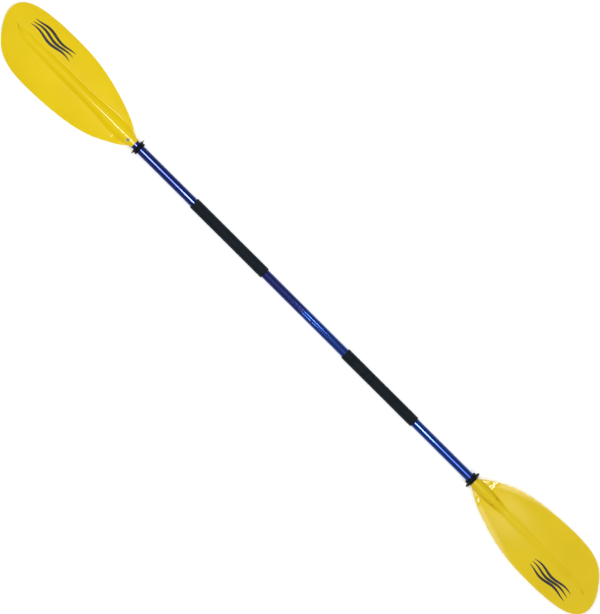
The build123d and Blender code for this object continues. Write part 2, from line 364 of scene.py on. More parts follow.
def swelling(y, foot, bow):
    """1 on the middle line, 0 from the foot outwards; bow 0.5 is round, over 1 has a soft foot."""
    return np.clip(1 - (y / foot) ** 2, 0, 1) ** bow


def flat_topped(u, y):
    """Distance from the middle line, held near 0 across the spine's flat top."""
    land = CREST_LAND * ramp(u, 0, 12)
    return np.abs(y) ** 3 / (y * y + land * land + 1e-9)


def back_face(u, y, inset):
    """Height of the back face: the sheet with the spine standing on it."""
    middle, half = sheet_middle(u, y), sheet_half(u, inset)
    crest = camber(u) + spine_crest(u)
    over_sheet = crest - sheet_middle(u, 0) - sheet_half(u, HALF_WIDTH)
    spine = over_sheet * swelling(flat_topped(u, y), flat_topped(u, spine_foot(u)), spine_bow(u))
    fade = ramp(u, 42, 54) * (1 - ramp(u, 160, 270))
    bead = BEAD_HEIGHT * fade * np.exp(-((y - spine_foot(u) - BEAD_OFFSET) / BEAD_WIDTH) ** 2)
    return middle + half + spine + bead


def power_face(u, y, inset):
    """Height of the power face: the sheet, the nose of the socket, and the hollow behind it."""
    middle, half = sheet_middle(u, y), sheet_half(u, inset)
    under_sheet = NECK_RADIUS + sheet_middle(u, 0) - sheet_half(u, HALF_WIDTH)
    bow = np.minimum(spine_bow(u), NOSE_BOW)
    nose = under_sheet * nose_size(u) * swelling(y, nose_foot(u), bow)
    side = np.abs(y) / groove_half(u)
    dip = np.clip(1 - np.sqrt(side**2 + GROOVE_SOFTNESS) + GROOVE_SOFTNESS / 2, 0, 1)
    hollow = groove_depth(u) * dip ** GROOVE_BOW
    return middle - half - nose + hollow


# %% [markdown]
# The ribs start square to the midrib and lean over past the middle of the blade, until the
# last one runs from the end of the midrib straight to the tip. Each rib is cut where it
# crosses the outline. Along a rib the points crowd together where the surface bends most: on
# the spine and on the rounded rim.

# %% Lay the blade's mesh lines
TIP = np.array(max(OUTLINE), float)


def rim_distance(points):
    """Distance of each point from the nearest of the outline's points."""
    return np.array([np.sqrt(((outline - p) ** 2).sum(axis=1).min()) for p in points])


MIDRIB_END, LEAN_FROM = 402.0, 250.0
stations = np.concatenate([
    np.arange(0, 24, 1.5), np.arange(24, 170, 2.5), np.arange(170, MIDRIB_END, 4.0), [MIDRIB_END]])
ON_SPINE, ON_SHEET, ON_RIM = 14, 22, 6
CROWDING = 1.6                      # over 1: ribs lean late, and points crowd near the spine
LEAST_SQUARE = 0.2                  # keeps a rib that skims the outline from a very long rim


def rib(u, side):
    """Points of one rib from the midrib outwards: rows of u, y and inset from the rim."""
    whole_lean = np.arctan2(TIP[0] - MIDRIB_END, side * TIP[1])
    lean = whole_lean * (max(u - LEAN_FROM, 0) / (MIDRIB_END - LEAN_FROM)) ** CROWDING
    along = np.array([sin(lean), side * cos(lean)])
    off = outline - (u, 0)
    across = off @ (-along[1], along[0])
    ahead = off @ along
    crosses = (across[:-1] * across[1:] <= 0) & (across[:-1] != across[1:])
    cut = np.nonzero(crosses & (ahead[:-1] > 1e-6))[0]
    share = across[cut] / (across[cut] - across[cut + 1])
    reaches = ahead[cut] + share * (ahead[cut + 1] - ahead[cut])
    first, reach = cut[np.argmin(reaches)], reaches.min()
    edge_way = outline[first + 1] - outline[first]
    edge_way = edge_way / np.linalg.norm(edge_way)
    square = max(abs(along[0] * edge_way[1] - along[1] * edge_way[0]), LEAST_SQUARE)
    if abs(u - MIDRIB_END) < 1e-9:
        reach, square = np.linalg.norm(TIP - (u, 0)), 1.0
    foot = min(float(spine_foot(u)), reach)
    rim = min(RIM_HALF_THICKNESS / square, 0.9 * (reach - foot))
    spine_part = foot * np.sin(np.linspace(0, pi / 2, ON_SPINE + 1))
    sheet_part = foot + (reach - rim - foot) * np.linspace(0, 1, ON_SHEET + 1)[1:] ** CROWDING
    rim_part = reach - rim * (1 - np.sin(np.linspace(0, pi / 2, ON_RIM + 1)))[1:]
    s = np.concatenate([spine_part, sheet_part, rim_part])
    points = np.column_stack([u + s * along[0], s * along[1]])
    return np.column_stack([points, np.minimum((reach - s) * square, rim_distance(points))])


SOCKET_DEPTH = 80.0
MOUTH_CHAMFER, MOUTH_STEP = 0.95, 1.0        # share of the neck's radius, and depth


def blade_rows():
    """Closed loops of points round the blade, from the bottom of its socket to its last rib."""
    rows = []
    for u in stations:
        long_side, short_side = rib(u, 1), rib(u, -1)
        across = np.vstack([long_side[::-1], short_side[1:]])
        back = np.column_stack([across[:, 0], across[:, 1], back_face(*across.T)])
        inner = across[1:-1]
        power = np.column_stack([inner[:, 0], inner[:, 1], power_face(*inner.T)])
        rows.append(np.vstack([back, power[::-1]]))
    mouth = rows[0]
    to_bore = TUBE_RADIUS / MM / NECK_RADIUS
    bore = mouth * (1, to_bore, to_bore)
    chamfer = mouth * (1, MOUTH_CHAMFER, MOUTH_CHAMFER)
    rows[0] = mouth + (MOUTH_STEP, 0, 0)
    return [bore + (SOCKET_DEPTH, 0, 0), bore, chamfer, *rows]


def loft(rows):
    """Faces between equal closed loops, and a cap on the first; the last loop lies flat on itself,
    so merging its doubled points closes it."""
    around = len(rows[0])
    faces = []
    for r in range(len(rows) - 1):
        for c in range(around):
            d = (c + 1) % around
            near, far = r * around, (r + 1) * around
            faces.append((near + c, near + d, far + d, far + c))
    faces.append(tuple(range(around - 1, -1, -1)))
    return faces


rows = blade_rows()
blade_points = np.vstack(rows)
blade_faces = loft(rows)
print(f"blade mesh: {len(rows)} loops of {len(rows[0])} points")

# %% Clean a mesh, and make both blades


def cleaned(obj):
    """Merge points that coincide, drop empty faces, and turn all faces outwards."""
    work = bmesh.new()
    work.from_mesh(obj.data)
    bmesh.ops.remove_doubles(work, verts=work.verts, dist=2e-6)
    bmesh.ops.dissolve_degenerate(work, dist=1e-6, edges=work.edges)
    bmesh.ops.recalc_face_normals(work, faces=work.faces)
    if work.calc_volume(signed=True) < 0:
        bmesh.ops.reverse_faces(work, faces=work.faces)
    open_edges = sum(1 for e in work.edges if len(e.link_faces) != 2)
    work.to_mesh(obj.data)
    print(f"{obj.name}: {len(work.faces)} faces, {open_edges} open edges, "
          f"{work.calc_volume() * 1e6:.0f} cm3")
    work.free()
    return obj


def blade_object(name, side):
    """side -1 is the left blade with its back up; +1 is its opposite through the origin."""
    place_mm = blade_points * (side, -side, -side) + (side * BLADE_ROOT / MM, 0, 0)
    return cleaned(mesh_object(name, place_mm * MM, blade_faces))


left_blade = blade_object("left_blade_moulding", -1)
right_blade = blade_object("right_blade_moulding", 1)
for piece, node, body in ((left_blade, "left_blade", "left_half"),
                          (right_blade, "right_blade", "right_half")):
    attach(piece, body)
    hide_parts(node)

# %% [markdown]
# The rim of a moulded blade scuffs first, so its material needs to know how far each point is
# from the rim. That distance is worked out once, here, and stored on the mesh's points as an
# attribute that the material can read.

# %% Store each point's distance from the rim
for piece, side in ((left_blade, -1), (right_blade, 1)):
    spots = np.array([v.co[:2] for v in piece.data.vertices]) / MM
    on_drawing = np.column_stack([side * spots[:, 0] - BLADE_ROOT / MM, -side * spots[:, 1]])
    distances = rim_distance(on_drawing)
    to_rim = piece.data.attributes.new("to_rim", "FLOAT", "POINT")
    to_rim.data.foreach_set("value", distances.astype(np.float32))
    print(f"{piece.name}: deepest point is {distances.max():.0f} mm from the rim")

# %% [markdown]
# ## Effects that several finishes share
# A real surface is never one flat colour. Moulded plastic has a faint flow pattern, a drawn tube
# has lines along it, everything carries hairline scratches and some dust. Each effect is a node
# group with its own scale and strength, built once here and placed in many materials.

# %% Shared effect: grain


def place_on_piece(tree):
    """The piece's own coordinates."""
    return add(tree, "ShaderNodeTexCoord").outputs["Object"]


def stretched(tree, place, stretch):
    """Coordinates stretched along an axis, for effects with a direction."""
    inputs = {0: place, 1: stretch}
    return add(tree, "ShaderNodeVectorMath", inputs, operation="MULTIPLY").outputs[0]


grain_group, grain_in, grain_out = new_tree(
    "surface_grain", "ShaderNodeTree",
    {"Scale": "number", "Stretch": "vector", "Detail": "number", "Low": "number", "High": "number"},
    {"Value": "number", "Height": "number"})
where = stretched(grain_group, place_on_piece(grain_group), grain_in.outputs["Stretch"])
grain = noise(grain_group, where, grain_in.outputs["Scale"], grain_in.outputs["Detail"])
grain_value = remap(grain_group, grain, 0.3, 0.7, grain_in.outputs["Low"], grain_in.outputs["High"])
grain_group.links.new(grain_value, grain_out.inputs["Value"])
grain_group.links.new(grain, grain_out.inputs["Height"])

# %% Shared effect: hairline scratches
# A scratch is where a stretched noise crosses its own middle value; a coarse noise keeps the
# scratches in patches.
scratch_group, scratch_in, scratch_out = new_tree(
    "hairline_scratches", "ShaderNodeTree",
    {"Scale": "number", "Stretch": "vector", "Width": "number", "Amount": "number"},
    {"Mask": "number"})
place_of = place_on_piece(scratch_group)
where = stretched(scratch_group, place_of, scratch_in.outputs["Stretch"])
line_noise = noise(scratch_group, where, scratch_in.outputs["Scale"], 2.0, Distortion=0.4)
off_middle = maths(scratch_group, "ABSOLUTE", maths(scratch_group, "SUBTRACT", line_noise, 0.5))
line = remap(scratch_group, off_middle, 0.0, scratch_in.outputs["Width"], 1.0, 0.0)
patches = remap(scratch_group, noise(scratch_group, place_of, 14.0, 3.0), 0.5, 0.62)
scratch_mask = maths(scratch_group, "MULTIPLY", maths(scratch_group, "MULTIPLY", line, patches),
                     scratch_in.outputs["Amount"])
scratch_group.links.new(scratch_mask, scratch_out.inputs["Mask"])

# %% Shared effect: dust
dust_group, dust_in, dust_out = new_tree(
    "settled_dust", "ShaderNodeTree", {"Scale": "number", "Amount": "number"}, {"Mask": "number"})
place_of = place_on_piece(dust_group)
cloud = noise(dust_group, place_of, 9.0, 5.0)
specks = remap(dust_group, noise(dust_group, place_of, dust_in.outputs["Scale"], 2.0), 0.56, 0.72)
dust_mask = maths(dust_group, "MULTIPLY", maths(dust_group, "MULTIPLY", specks, cloud),
                  dust_in.outputs["Amount"])
dust_group.links.new(dust_mask, dust_out.inputs["Mask"])

# %% Shared effect: rim wear
# Strongest on the rim itself, broken up by noise, gone at its reach.
wear_group, wear_in, wear_out = new_tree(
    "rim_wear", "ShaderNodeTree", {"Distance": "number", "Reach": "number", "Amount": "number"},
    {"Mask": "number"})
nicks = noise(wear_group, place_on_piece(wear_group), 160.0, 4.0)
nearness = remap(wear_group, wear_in.outputs["Distance"], 0.0, wear_in.outputs["Reach"], 0.42, 0.0)
worn = remap(wear_group, maths(wear_group, "ADD", nicks, nearness), 0.78, 0.92)
wear_mask = maths(wear_group, "MULTIPLY", worn, wear_in.outputs["Amount"])
wear_group.links.new(wear_mask, wear_out.inputs["Mask"])
effects = (grain_group, scratch_group, dust_group, wear_group)
print("shared effects:", ", ".join(group.name for group in effects))

# %% [markdown]
# ## Finishes
# Every finish is one Principled shader with the shared effects set to its own scales: a broad
# grain drifts the colour, a fine grain drives roughness and bump, and masks lay scratches, dust
# or wear on top. What is the same all over, such as how metallic it is, is set on the shader.

# %% The finish maker
EVEN = (1.0, 1.0, 1.0)
ALONG = (0.03, 1.0, 1.0)            # stretched about thirty times along the shaft
DUST_COLOUR, DUST_SCALE = (0.55, 0.53, 0.48), 900.0
ROUGHER = {"scratches": 0.2, "wear": 0.25, "dust": 0.3}     # what each adds to the roughness


def use(tree, group, inputs):
    """Place a shared effect in a material."""
    return add(tree, "ShaderNodeGroup", inputs, node_tree=group).outputs


def opaque(colour):
    """A plain colour with full alpha; a node's output stays as it is."""
    return colour if isinstance(colour, bpy.types.NodeSocket) else (*colour, 1.0)


def blend_colour(tree, mask, under, over_it):
    """Lay one colour over another by a mask."""
    inputs = {0: mask, 6: opaque(under), 7: opaque(over_it)}
    return add(tree, "ShaderNodeMix", inputs, data_type="RGBA").outputs[2]


def finish(name, colour, drift, broad, fine, rough, bump, stretch=EVEN, scratches=None, dust=0.0,
           wear=None, constants=None):
    """A material. colour drifts to drift over a broad grain; fine is the scale of the surface
    grain; rough is its lowest and highest roughness; bump is (strength, distance); scratches is
    (scale, width, amount, colour); wear is (reach, amount, colour)."""
    made = bpy.data.materials.new(name)
    made.use_nodes = True
    tree = made.node_tree
    shader = tree.nodes["Principled BSDF"]
    tone = use(tree, grain_group, {
        "Scale": broad, "Stretch": stretch, "Detail": 4.0, "Low": 0.0, "High": 1.0})
    skin = use(tree, grain_group, {
        "Scale": fine, "Stretch": stretch, "Detail": 3.0, "Low": rough[0], "High": rough[1]})
    shade, roughness = blend_colour(tree, tone["Value"], colour, drift), skin["Value"]
    if scratches:
        scale, width, amount, bare = scratches
        mask = use(tree, scratch_group, {
            "Scale": scale, "Stretch": stretch, "Width": width, "Amount": amount})["Mask"]
        shade = blend_colour(tree, mask, shade, bare)
        roughness = maths(tree, "MULTIPLY_ADD", mask, ROUGHER["scratches"], roughness)
    if wear:
        reach, amount, bare = wear
        distance = add(tree, "ShaderNodeAttribute", attribute_name="to_rim").outputs["Fac"]
        mask = use(tree, wear_group, {
            "Distance": distance, "Reach": reach, "Amount": amount})["Mask"]
        shade = blend_colour(tree, mask, shade, bare)
        roughness = maths(tree, "MULTIPLY_ADD", mask, ROUGHER["wear"], roughness)
    if dust:
        mask = use(tree, dust_group, {"Scale": DUST_SCALE, "Amount": dust})["Mask"]
        shade = blend_colour(tree, mask, shade, DUST_COLOUR)
        roughness = maths(tree, "MULTIPLY_ADD", mask, ROUGHER["dust"], roughness)
    tree.links.new(shade, shader.inputs["Base Color"])
    tree.links.new(roughness, shader.inputs["Roughness"])
    lift = add(tree, "ShaderNodeBump", {
        "Height": skin["Height"], "Strength": bump[0], "Distance": bump[1]})
    tree.links.new(lift.outputs["Normal"], shader.inputs["Normal"])
    for key, value in (constants or {}).items():
        shader.inputs[key].default_value = value
    return made


# %% Finishes of the blades
BLADE_LOOK = {
    "broad": 9.0, "fine": 420.0, "rough": (0.30, 0.42), "bump": (0.10, 0.0002), "dust": 0.03,
    "scratches": (60.0, 0.006, 0.15, (0.86, 0.70, 0.08)), "wear": (5.0, 0.5, (0.84, 0.68, 0.10)),
    "constants": {"Specular IOR Level": 0.02, "Coat Weight": 0.45, "Coat Roughness": 0.1},
}
blade_yellow_left = finish(
    "blade_yellow_left", (0.82, 0.575, 0.002), (0.775, 0.535, 0.001), **BLADE_LOOK)
# The right blade is the same plastic as the left; its darker, duller yellow is painted shade.
blade_yellow_painted_shade = finish(
    "blade_yellow_painted_shade", (0.735, 0.525, 0.009), (0.69, 0.49, 0.006), **BLADE_LOOK)

# %% Finishes of the tubes
TUBE_LOOK = {
    "broad": 60.0, "fine": 900.0, "rough": (0.06, 0.10), "bump": (0.002, 0.0001), "dust": 0.01,
    "stretch": ALONG,
    "constants": {"Metallic": 1.0, "Specular Tint": (0.0, 0.0, 0.05, 1.0), "Coat Weight": 0.46,
                  "Coat Roughness": 0.06},
}
tube_blue_left = finish(
    "anodised_blue_left", (0.022, 0.034, 0.235), (0.027, 0.040, 0.26),
    scratches=(700.0, 0.012, 0.35, (0.10, 0.12, 0.34)), **TUBE_LOOK)
# Both tubes have the same anodising; the right one's lighter, more cyan blue is a painted
# reflection.
tube_blue_painted_reflection = finish(
    "anodised_blue_painted_reflection", (0.014, 0.055, 0.33), (0.018, 0.064, 0.37),
    scratches=(700.0, 0.012, 0.35, (0.08, 0.14, 0.36)), **TUBE_LOOK)

# %% Finishes of the ink, grips, rings and washer
ink_black = finish(
    "printed_ink", (0.006, 0.006, 0.007), (0.012, 0.012, 0.012), broad=30.0, fine=500.0,
    rough=(0.35, 0.5), bump=(0.1, 0.0001), scratches=(60.0, 0.006, 0.4, (0.30, 0.22, 0.02)),
    dust=0.1, constants={"Specular IOR Level": 0.3})
foam_black = finish(
    "foam_black", (0.0065, 0.0080, 0.0110), (0.010, 0.0125, 0.0170), broad=45.0, fine=1400.0,
    rough=(0.55, 0.75), bump=(0.5, 0.0005), dust=0.02, constants={
        "Specular IOR Level": 0.10, "Specular Tint": (0.6, 0.8, 1.0, 1.0), "Sheen Weight": 0.01,
        "Sheen Roughness": 0.5, "Sheen Tint": (0.6, 0.75, 1.0, 1.0)})
rubber_black = finish(
    "rubber_black", (0.0035, 0.0045, 0.009), (0.006, 0.008, 0.014), broad=70.0, fine=1100.0,
    rough=(0.38, 0.55), bump=(0.2, 0.0002), dust=0.02, constants={"Specular IOR Level": 0.09})
washer_black = finish(
    "washer_black", (0.008, 0.010, 0.03), (0.013, 0.015, 0.04), broad=90.0, fine=1200.0,
    rough=(0.4, 0.55), bump=(0.1, 0.0001), dust=0.1, constants={"Specular IOR Level": 0.3})

# %% Finishes of the metal pieces
rivet_grey = finish(
    "rivet_grey", (0.24, 0.29, 0.42), (0.32, 0.37, 0.50), broad=300.0, fine=1500.0,
    rough=(0.32, 0.48), bump=(0.15, 0.0001), scratches=(900.0, 0.02, 0.5, (0.5, 0.53, 0.6)),
    dust=0.15, constants={"Metallic": 1.0})
stem_steel = finish(
    "stem_steel", (0.36, 0.36, 0.37), (0.5, 0.5, 0.5), broad=400.0, fine=2500.0,
    rough=(0.3, 0.5), bump=(0.3, 0.0001), scratches=(1200.0, 0.02, 0.6, (0.62, 0.62, 0.62)),
    constants={"Metallic": 1.0})
spring_steel = finish(
    "spring_leaf_steel", (0.27, 0.28, 0.30), (0.34, 0.33, 0.32), broad=120.0, fine=1800.0,
    rough=(0.25, 0.4), bump=(0.2, 0.0001), stretch=ALONG,
    scratches=(900.0, 0.02, 0.5, (0.5, 0.5, 0.5)), constants={"Metallic": 1.0})

# %% Finishes of the snap button, the plastic and hidden pieces, and of the floor
# The snap button is steel; its near-black colour is painted shade, standing in for the dark
# surroundings it reflects.
button_painted_shade = finish(
    "button_painted_shade", (0.012, 0.014, 0.028), (0.020, 0.022, 0.04), broad=200.0, fine=1500.0,
    rough=(0.3, 0.45), bump=(0.1, 0.0001), scratches=(900.0, 0.02, 0.3, (0.08, 0.08, 0.10)),
    constants={"Specular IOR Level": 0.4})
sleeve_black = finish(
    "sleeve_black", (0.022, 0.023, 0.026), (0.034, 0.034, 0.036), broad=80.0, fine=900.0,
    rough=(0.45, 0.6), bump=(0.25, 0.0002), stretch=(0.2, 1.0, 1.0),
    scratches=(500.0, 0.015, 0.4, (0.09, 0.09, 0.09)), dust=0.08)
bung_white = finish(
    "bung_white", (0.72, 0.71, 0.66), (0.60, 0.59, 0.54), broad=90.0, fine=700.0,
    rough=(0.8, 0.95), bump=(0.6, 0.0006), dust=0.1)
studio_white = finish(
    "studio_white", (0.74, 0.74, 0.74), (0.72, 0.72, 0.72), broad=2.0, fine=40.0,
    rough=(0.9, 0.95), bump=(0.02, 0.0005),
    constants={"Specular IOR Level": 0.1, "Emission Strength": 0.36})
floor.data.materials.append(studio_white)
print("finishes:", len(bpy.data.materials))

# %% Put the finishes on the blades and on the pieces that keep the model's own shape
NODE_FINISHES = {
    "seam_washer": washer_black, "ferrule_sleeve": sleeve_black, "snap_button": button_painted_shade,
    "button_spring": spring_steel, "ferrule_rivet": rivet_grey, "left_blade_rivet": rivet_grey,
    "right_blade_rivet": rivet_grey, "ferrule_rivet_mandrel": stem_steel,
    "left_rivet_mandrel": stem_steel, "right_rivet_mandrel": stem_steel,
    "left_inner_bung": bung_white, "left_outer_bung": bung_white,
    "right_inner_bung": bung_white, "right_outer_bung": bung_white,
}


def wears(piece, material):
    """Give a piece one finish all over."""
    piece.data.materials.clear()
    piece.data.materials.append(material)


for node_name, material in NODE_FINISHES.items():
    wears(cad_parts[node_name], material)
wears(left_blade, blade_yellow_left)
wears(right_blade, blade_yellow_painted_shade)

# %% [markdown]
# ## The tubes
# A polished tube is a mirror in one direction, so its facets must not show. The tube is a grid
# of rings and lines, seventy-two lines round, and a hole for the snap button needs a clean round
# edge in that grid. Round each hole, a square window of the grid is squeezed: its outer border
# stays, and the rings of points inside it move onto circles. The cells inside the last circle
# are left out. Both skins of the tube are squeezed alike and joined along the hole.

# %% Make a tube with round holes
TUBE_WALL, END_BEVEL = 1.5 * MM, 0.25 * MM
LINE_STEP = 5                       # degrees between the lines along the tube
RING_STEP = 20 * MM                 # between the rings of points along the tube
WINDOW, HOLE_RING = 6, 3            # half a window, and the ring that becomes the hole's edge
WINDOW_REACH, WINDOW_CLEAR = 1.7, 1.15       # its half length in hole radii, and room round it
BUTTON_TILT = 17.5                  # degrees from +Z towards -Y
SHARP_FROM = radians(35)


def squeeze(i, j, hole, half_x, half_y):
    """Where a window's point goes, from the hole's middle; it is i cells along and j across."""
    ring_number = max(abs(i), abs(j))
    if ring_number < HOLE_RING:
        return None
    on_square = Vector((i * half_x, j * half_y)) / ring_number
    on_circle = Vector((i, j)).normalized() * hole
    return on_circle.lerp(on_square, (ring_number - HOLE_RING) / (WINDOW - HOLE_RING))


def hole_edge():
    """The square ring of grid points that becomes a hole's edge, in order."""
    h = HOLE_RING
    return ([(i, -h) for i in range(-h, h)] + [(h, j) for j in range(-h, h)]
            + [(i, h) for i in range(h, -h, -1)] + [(-h, j) for j in range(h, -h, -1)])


def tube_object(name, start, end, hole_x, hole, hole_angles):
    """A tube along X; holes all lie at hole_x, at angles in degrees counted in tube lines."""
    half_x, half_y = hole * WINDOW_REACH, WINDOW * radians(LINE_STEP) * TUBE_RADIUS
    inner_rings = np.arange(start + RING_STEP, end - RING_STEP / 2, RING_STEP)
    ring_x = [start, start + END_BEVEL, *inner_rings, end - END_BEVEL, end]
    if hole_angles:
        window_x = hole_x + half_x * np.linspace(-1, 1, 2 * WINDOW + 1)
        ring_x = sorted([x for x in ring_x if abs(x - hole_x) > half_x * WINDOW_CLEAR]
                        + list(window_x))
    lines, last = 360 // LINE_STEP, len(ring_x) - 1
    centres = [round(a / LINE_STEP) for a in hole_angles]
    window_starts = (r for r, x in enumerate(ring_x) if abs(x - (hole_x - half_x)) < 1e-9)
    middle = next(window_starts, 0) + WINDOW
    points, index, removed = [], {}, set()
    for skin, radius in enumerate((TUBE_RADIUS, TUBE_RADIUS - TUBE_WALL)):
        for r, x in enumerate(ring_x):
            for c in range(lines):
                spot, turn = x, c * radians(LINE_STEP)
                for centre in centres:
                    i, j = r - middle, (c - centre + lines // 2) % lines - lines // 2
                    if abs(i) <= WINDOW and abs(j) <= WINDOW:
                        moved = squeeze(i, j, hole, half_x, half_y)
                        if moved is None:
                            removed.add((r, c))
                            continue
                        spot = hole_x + moved.x
                        turn = (centre * radians(LINE_STEP)) + moved.y / TUBE_RADIUS
                reach = radius - (END_BEVEL if r in (0, last) and skin == 0 else 0)
                tilt = radians(BUTTON_TILT) + turn
                index[skin, r, c] = len(points)
                points.append((spot, -reach * sin(tilt), reach * cos(tilt)))

    def wall(one, other):
        """A face between the two skins, along the grid edge from one place to another."""
        return [index[0, *one], index[0, *other], index[1, *other], index[1, *one]]

    faces = []
    for r in range(last):
        for c in range(lines):
            d = (c + 1) % lines
            cell = [(r, c), (r + 1, c), (r + 1, d), (r, d)]
            if not any(corner in removed for corner in cell):
                faces.append([index[0, *corner] for corner in cell])
                faces.append([index[1, *corner] for corner in cell[::-1]])
    for r in (0, last):
        faces += [wall((r, c), (r, (c + 1) % lines)) for c in range(lines)]
    for centre in centres:
        edge = [(middle + i, (centre + j) % lines) for i, j in hole_edge()]
        faces += [wall(one, other) for one, other in zip(edge, edge[1:] + edge[:1])]
    tube = cleaned(mesh_object(name, points, faces))
    tube.data.set_sharp_from_angle(angle=SHARP_FROM)
    return tube


# %% The two tubes
button_low, button_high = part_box("snap_button")
BUTTON_X, BUTTON_HOLE = (button_low.x + button_high.x) / 2, 3.5 * MM
FEATHER_STOPS = (0, 120, 180, 240)
for name, node, body, material, stops in (
        ("left_tube", "left_shaft", "left_half", tube_blue_left, ()),
        ("right_tube", "right_shaft", "right_half", tube_blue_painted_reflection, FEATHER_STOPS)):
    low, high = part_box(node)
    piece = tube_object(name, low.x, high.x, BUTTON_X, BUTTON_HOLE, stops)
    wears(piece, material)
    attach(piece, body)
    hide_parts(node)

# %% [markdown]
# ## Turned pieces: drip rings and grips
# A drip ring and a foam grip are both round about the shaft, so each is a profile swept round
# it. Geometry Nodes do this well: the profile comes in as a loop of edges, its corners are
# rounded, and it is swept round a circle. The same tree then roughens the skin by a noise, a
# little for rubber and more for foam. The profile stays easy to edit, as a few points.

# %% The tree that turns a profile
turned_tree, turned_in, turned_out = new_tree(
    "turned_from_profile", "GeometryNodeTree",
    {"Profile": "geometry", "Mean Radius": "number", "Corner Round": "number",
     "Lines Round": "count", "Skin Depth": "number", "Skin Scale": "number",
     "Finish": "material"}, {"Piece": "geometry"})
outline_curve = add(turned_tree, "GeometryNodeMeshToCurve", {"Mesh": turned_in.outputs["Profile"]})
rounded = add(turned_tree, "GeometryNodeFilletCurve", {
    "Curve": outline_curve.outputs[0], "Count": 3, "Radius": turned_in.outputs["Corner Round"],
    "Limit Radius": True}, mode="POLY")
circle = add(turned_tree, "GeometryNodeCurvePrimitiveCircle", {
    "Resolution": turned_in.outputs["Lines Round"], "Radius": turned_in.outputs["Mean Radius"]})
swept = add(turned_tree, "GeometryNodeCurveToMesh", {
    "Curve": circle.outputs[0], "Profile Curve": rounded.outputs[0]})
laid = add(turned_tree, "GeometryNodeTransform", {
    "Geometry": swept.outputs[0], "Rotation": (0.0, -pi / 2, 0.0)})
skin_place = add(turned_tree, "GeometryNodeInputPosition").outputs[0]
skin_noise = noise(turned_tree, skin_place, turned_in.outputs["Skin Scale"], 3.0)
lift_by = maths(turned_tree, "MULTIPLY", maths(turned_tree, "SUBTRACT", skin_noise, 0.5),
                turned_in.outputs["Skin Depth"])
outwards = add(turned_tree, "GeometryNodeInputNormal").outputs[0]
lift_way = add(turned_tree, "ShaderNodeVectorMath", {0: outwards, 3: lift_by},
               operation="SCALE").outputs[0]
roughened = add(turned_tree, "GeometryNodeSetPosition", {
    "Geometry": laid.outputs[0], "Offset": lift_way})
smooth = add(turned_tree, "GeometryNodeSetShadeSmooth", {"Geometry": roughened.outputs[0]})
whole = add(turned_tree, "GeometryNodeRealizeInstances", {"Geometry": smooth.outputs[0]})
coloured = add(turned_tree, "GeometryNodeSetMaterial", {
    "Geometry": whole.outputs[0], "Material": turned_in.outputs["Finish"]})
turned_tree.links.new(coloured.outputs[0], turned_out.inputs["Piece"])

# %% Run a tree and keep its result as a plain mesh
LINES_ROUND = 120


def run_tree(piece, tree, values):
    """Set a tree's inputs by their names, and bake its result into the piece."""
    modifier = piece.modifiers.new(tree.name, "NODES")
    modifier.node_group = tree
    sockets = [item for item in tree.interface.items_tree if item.in_out == "INPUT"]
    identifiers = {socket.name: socket.identifier for socket in sockets}
    for key, value in values.items():
        modifier[identifiers[key]] = value
    evaluated = piece.evaluated_get(bpy.context.evaluated_depsgraph_get())
    result = bpy.data.meshes.new_from_object(evaluated)
    piece.modifiers.remove(modifier)
    piece.data = result
    return cleaned(piece)


def turned(name, profile, corner, depth, scale, material):
    """A piece turned about the shaft from (place along it, radius) points, in metres; depth and
    scale are those of the noise that roughens its skin."""
    radii = [radius for _, radius in profile]
    mean = (min(radii) + max(radii)) / 2
    loop = [(radius - mean, along, 0.0) for along, radius in profile]
    mesh = bpy.data.meshes.new(name)
    mesh.from_pydata(loop, [(k, (k + 1) % len(loop)) for k in range(len(loop))], [])
    piece = bpy.data.objects.new(name, mesh)
    bpy.context.scene.collection.objects.link(piece)
    return run_tree(piece, turned_tree, {
        "Mean Radius": mean, "Corner Round": corner, "Lines Round": LINES_ROUND,
        "Skin Depth": depth, "Skin Scale": scale, "Finish": material})


# %% [markdown]
# A drip ring stops water running down the shaft. Its hub grips the tube, with a bead at the
# end nearer the hand, and then flares into a thin flange that throws the drips off, with a
# short lip behind it.

# %% The drip rings
RING_PROFILE = [                    # from its inner end, and radius, in millimetres
    (0, 12.1), (0, 15.4), (0.9, 17.1), (3.8, 17.1), (4.7, 16.0), (5.8, 16.1), (7.2, 17.1),
    (8.6, 19.2), (9.5, 21.6), (9.9, 24.2), (10.8, 24.2), (11.0, 20.6), (11.3, 17.2),
    (13, 16.8), (13, 12.1),
]
for side, name in ((-1, "left_drip_ring"), (1, "right_drip_ring")):
    low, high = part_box(name)
    inner_end = high.x if side < 0 else low.x
    profile = [(inner_end + side * along * MM, radius * MM) for along, radius in RING_PROFILE]
    drip_ring = turned(name + "_rubber", profile, corner=0.35 * MM, depth=0.06 * MM, scale=180.0,
                       material=rubber_black)
    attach(drip_ring, name)
    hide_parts(name)

# %% [markdown]
# A foam grip is a soft sleeve slid onto the tube. Its ends are rounded by the knife, and its
# skin is a little uneven, as cut foam is, with a faint waist where hands have pressed it.

